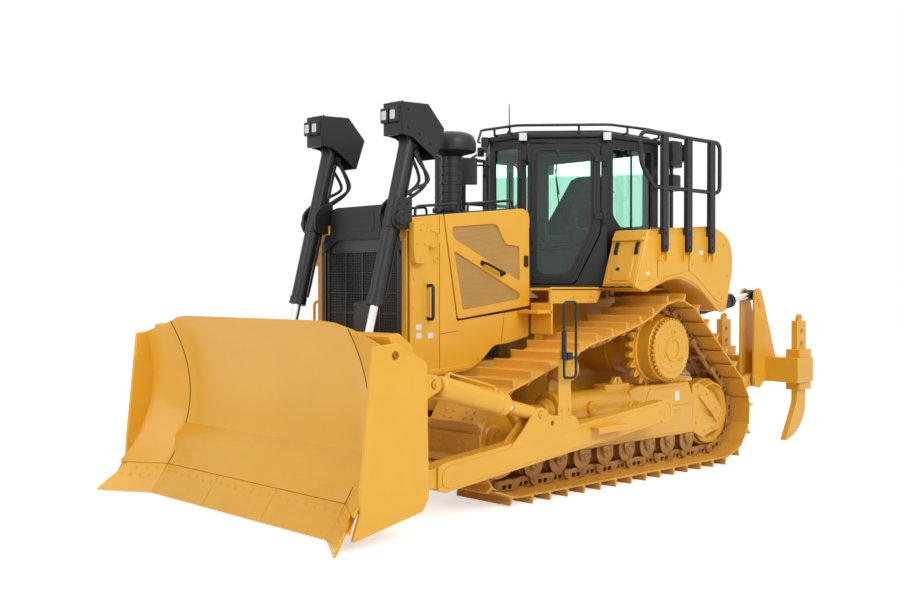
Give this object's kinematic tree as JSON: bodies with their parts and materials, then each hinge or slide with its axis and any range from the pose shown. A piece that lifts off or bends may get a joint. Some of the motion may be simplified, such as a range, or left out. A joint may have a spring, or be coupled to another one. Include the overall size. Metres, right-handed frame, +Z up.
{
  "type": "crawler bulldozer",
  "caption": "Crawler bulldozer with raised drive sprockets, a lifting semi-U blade on push arms, a glazed cab with hinged doors and a rear ripper.",
  "frame": {"origin": "on the ground under the middle of the whole machine's box", "axes": "+X forward to the blade, +Y to the machine's left, +Z up"},
  "size_m": [7.3006, 3.32, 3.51],
  "materials": {
    "machine_yellow": "satin paint",
    "black_paint": "satin paint",
    "rod_chrome": "polished",
    "track_steel": "worn paint",
    "dark_steel": "machined",
    "cab_glass": "clear green tint",
    "seat_cloth": "woven"
  },
  "bodies": {
    "root": {"main_frame": "machine_yellow", "engine_block": "dark_steel", "radiator_guard": "machine_yellow", "grille": "black_paint", "hood": "black_paint", "side_panel_left": "machine_yellow", "side_panel_right": "machine_yellow", "exhaust_stack": "black_paint", "air_cleaner": "black_paint", "cab_floor": "machine_yellow", "cab_shell": "black_paint", "cab_roof": "black_paint", "windshield": "cab_glass", "rear_glass": "cab_glass", "side_glass_left": "cab_glass", "side_glass_right": "cab_glass", "seat": "seat_cloth", "fuel_tank": "machine_yellow", "fender_left": "machine_yellow", "fender_right": "machine_yellow", "guard_rail_left": "black_paint", "guard_rail_right": "black_paint", "roller_frame_left": "machine_yellow", "roller_frame_right": "machine_yellow", "final_drive_left": "machine_yellow", "final_drive_right": "machine_yellow", "track_left": "track_steel", "track_right": "track_steel"},
    "push_arms": {"push_arm_left": "machine_yellow", "push_arm_right": "machine_yellow"},
    "blade": {"blade": "machine_yellow", "cutting_edge": "machine_yellow"},
    "ripper_link": {"ripper_link": "machine_yellow"},
    "ripper_pin": {"ripper_pin": "dark_steel"},
    "ripper_beam": {"ripper_beam": "machine_yellow", "ripper_shank_left": "machine_yellow", "ripper_shank_middle": "machine_yellow", "ripper_shank_right": "machine_yellow"},
    "tilt_barrel_left": {"tilt_barrel_left": "machine_yellow"},
    "tilt_barrel_right": {"tilt_barrel_right": "machine_yellow"},
    "tilt_rod_left": {"tilt_rod_left": "rod_chrome"},
    "tilt_rod_right": {"tilt_rod_right": "rod_chrome"},
    "lift_barrel_left": {"lift_barrel_left": "black_paint"},
    "lift_barrel_right": {"lift_barrel_right": "black_paint"},
    "lift_rod_left": {"lift_rod_left": "rod_chrome"},
    "lift_rod_right": {"lift_rod_right": "rod_chrome"},
    "ripper_tilt_barrel_left": {"ripper_tilt_barrel_left": "black_paint"},
    "ripper_tilt_barrel_right": {"ripper_tilt_barrel_right": "black_paint"},
    "ripper_tilt_rod_left": {"ripper_tilt_rod_left": "rod_chrome"},
    "ripper_tilt_rod_right": {"ripper_tilt_rod_right": "rod_chrome"},
    "ripper_lift_barrel_left": {"ripper_lift_barrel_left": "black_paint"},
    "ripper_lift_barrel_right": {"ripper_lift_barrel_right": "black_paint"},
    "ripper_lift_rod_left": {"ripper_lift_rod_left": "rod_chrome"},
    "ripper_lift_rod_right": {"ripper_lift_rod_right": "rod_chrome"},
    "engine_door_left": {"engine_door_left": "machine_yellow"},
    "engine_door_right": {"engine_door_right": "machine_yellow"},
    "cab_door_left": {"cab_door_left": "black_paint", "door_glass_left": "cab_glass"},
    "cab_door_right": {"cab_door_right": "black_paint", "door_glass_right": "cab_glass"}
  },
  "joints": [
    {"name": "blade_lift", "type": "hinge", "parent": "root", "child": "push_arms", "pos_m": [-0.21526, 0, 0.64], "axis": [0, 1, 0], "range_deg": [-18, 8]},
    {"name": "blade_pitch", "type": "hinge", "parent": "push_arms", "child": "blade", "pos_m": [2.69474, 0, 0.37], "axis": [0, -1, 0], "range_deg": [-5, 5]},
    {"name": "ripper_lift", "type": "hinge", "parent": "root", "child": "ripper_link", "pos_m": [-1.91526, 0, 0.54], "axis": [0, 1, 0], "range_deg": [-20, 25]},
    {"name": "ripper_pin", "type": "hinge", "parent": "ripper_link", "child": "ripper_pin", "pos_m": [-3.11526, 0, 0.7], "axis": [0, 1, 0], "range_deg": [-25.1, 20.1]},
    {"name": "ripper_tilt", "type": "hinge", "parent": "ripper_pin", "child": "ripper_beam", "pos_m": [-3.11526, 0, 0.7], "axis": [0, -1, 0], "range_deg": [-8, 8]},
    {"name": "lift_trunnion_left", "type": "hinge", "parent": "root", "child": "lift_barrel_left", "pos_m": [2.16474, 0.52, 2.3], "axis": [0, -1, 0], "range_deg": [-3.3, 7.3]},
    {"name": "lift_rod_left", "type": "slide", "parent": "lift_barrel_left", "child": "lift_rod_left", "axis": [0.2534, 0, -0.9674], "range_m": [-0.87, 0.388]},
    {"name": "tilt_pivot_left", "type": "hinge", "parent": "blade", "child": "tilt_barrel_left", "pos_m": [2.62474, 1.44, 1.055], "axis": [0, -1, 0], "range_deg": [-4.6, 4.6]},
    {"name": "tilt_rod_left", "type": "slide", "parent": "tilt_barrel_left", "child": "tilt_rod_left", "axis": [-0.9661, 0, -0.2582], "range_m": [-0.06, 0.06]},
    {"name": "ripper_tilt_pivot_left", "type": "hinge", "parent": "root", "child": "ripper_tilt_barrel_left", "pos_m": [-1.91526, 0.6, 1.5], "axis": [0, 1, 0], "range_deg": [-20.1, 25.1]},
    {"name": "ripper_tilt_rod_left", "type": "slide", "parent": "ripper_tilt_barrel_left", "child": "ripper_tilt_rod_left", "axis": [-0.9912, 0, 0.1322], "range_m": [-0.135, 0.135]},
    {"name": "ripper_lift_pivot_left", "type": "hinge", "parent": "root", "child": "ripper_lift_barrel_left", "pos_m": [-1.91526, 0.36, 1.25], "axis": [0, 1, 0], "range_deg": [-13.7, 17.1]},
    {"name": "ripper_lift_rod_left", "type": "slide", "parent": "ripper_lift_barrel_left", "child": "ripper_lift_rod_left", "axis": [-0.8884, 0, -0.4592], "range_m": [-0.281, 0.225]},
    {"name": "cab_door_left", "type": "hinge", "parent": "root", "child": "cab_door_left", "pos_m": [-0.2232, 0.78867, 2.4], "axis": [0, 0, 1], "range_deg": [0, 85]},
    {"name": "engine_door_left", "type": "hinge", "parent": "root", "child": "engine_door_left", "pos_m": [1.68974, 0.63, 1.9], "axis": [0, 0, -1], "range_deg": [0, 100]},
    {"name": "lift_trunnion_right", "type": "hinge", "parent": "root", "child": "lift_barrel_right", "pos_m": [2.16474, -0.52, 2.3], "axis": [0, -1, 0], "range_deg": [-3.3, 7.3]},
    {"name": "lift_rod_right", "type": "slide", "parent": "lift_barrel_right", "child": "lift_rod_right", "axis": [0.2534, 0, -0.9674], "range_m": [-0.87, 0.388]},
    {"name": "tilt_pivot_right", "type": "hinge", "parent": "blade", "child": "tilt_barrel_right", "pos_m": [2.62474, -1.44, 1.055], "axis": [0, -1, 0], "range_deg": [-4.6, 4.6]},
    {"name": "tilt_rod_right", "type": "slide", "parent": "tilt_barrel_right", "child": "tilt_rod_right", "axis": [-0.9661, 0, -0.2582], "range_m": [-0.06, 0.06]},
    {"name": "ripper_tilt_pivot_right", "type": "hinge", "parent": "root", "child": "ripper_tilt_barrel_right", "pos_m": [-1.91526, -0.6, 1.5], "axis": [0, 1, 0], "range_deg": [-20.1, 25.1]},
    {"name": "ripper_tilt_rod_right", "type": "slide", "parent": "ripper_tilt_barrel_right", "child": "ripper_tilt_rod_right", "axis": [-0.9912, 0, 0.1322], "range_m": [-0.135, 0.135]},
    {"name": "ripper_lift_pivot_right", "type": "hinge", "parent": "root", "child": "ripper_lift_barrel_right", "pos_m": [-1.91526, -0.36, 1.25], "axis": [0, 1, 0], "range_deg": [-13.7, 17.1]},
    {"name": "ripper_lift_rod_right", "type": "slide", "parent": "ripper_lift_barrel_right", "child": "ripper_lift_rod_right", "axis": [-0.8884, 0, -0.4592], "range_m": [-0.281, 0.225]},
    {"name": "cab_door_right", "type": "hinge", "parent": "root", "child": "cab_door_right", "pos_m": [-0.2232, -0.78867, 2.4], "axis": [0, 0, -1], "range_deg": [0, 85]},
    {"name": "engine_door_right", "type": "hinge", "parent": "root", "child": "engine_door_right", "pos_m": [1.68974, -0.63, 1.9], "axis": [0, 0, 1], "range_deg": [0, 100]}
  ],
  "couplings": [
    {"joint": "ripper_pin", "follows": "ripper_lift", "ratio": -1},
    {"joint": "lift_trunnion_left", "follows": "blade_lift", "ratio": -0.39745},
    {"joint": "lift_rod_left", "follows": "blade_lift", "m_per_rad": 2.761},
    {"joint": "tilt_pivot_left", "follows": "blade_pitch", "ratio": -0.90909},
    {"joint": "tilt_rod_left", "follows": "blade_pitch", "m_per_rad": -0.67941},
    {"joint": "ripper_tilt_pivot_left", "follows": "ripper_lift", "ratio": 1},
    {"joint": "ripper_tilt_rod_left", "follows": "ripper_tilt", "m_per_rad": 0.945},
    {"joint": "ripper_lift_pivot_left", "follows": "ripper_lift", "ratio": 0.68128},
    {"joint": "ripper_lift_rod_left", "follows": "ripper_lift", "m_per_rad": -0.64029},
    {"joint": "lift_trunnion_right", "follows": "blade_lift", "ratio": -0.39745},
    {"joint": "lift_rod_right", "follows": "blade_lift", "m_per_rad": 2.761},
    {"joint": "tilt_pivot_right", "follows": "blade_pitch", "ratio": -0.90909},
    {"joint": "tilt_rod_right", "follows": "blade_pitch", "m_per_rad": -0.67941},
    {"joint": "ripper_tilt_pivot_right", "follows": "ripper_lift", "ratio": 1},
    {"joint": "ripper_tilt_rod_right", "follows": "ripper_tilt", "m_per_rad": 0.945},
    {"joint": "ripper_lift_pivot_right", "follows": "ripper_lift", "ratio": 0.68128},
    {"joint": "ripper_lift_rod_right", "follows": "ripper_lift", "m_per_rad": -0.64029}
  ]
}
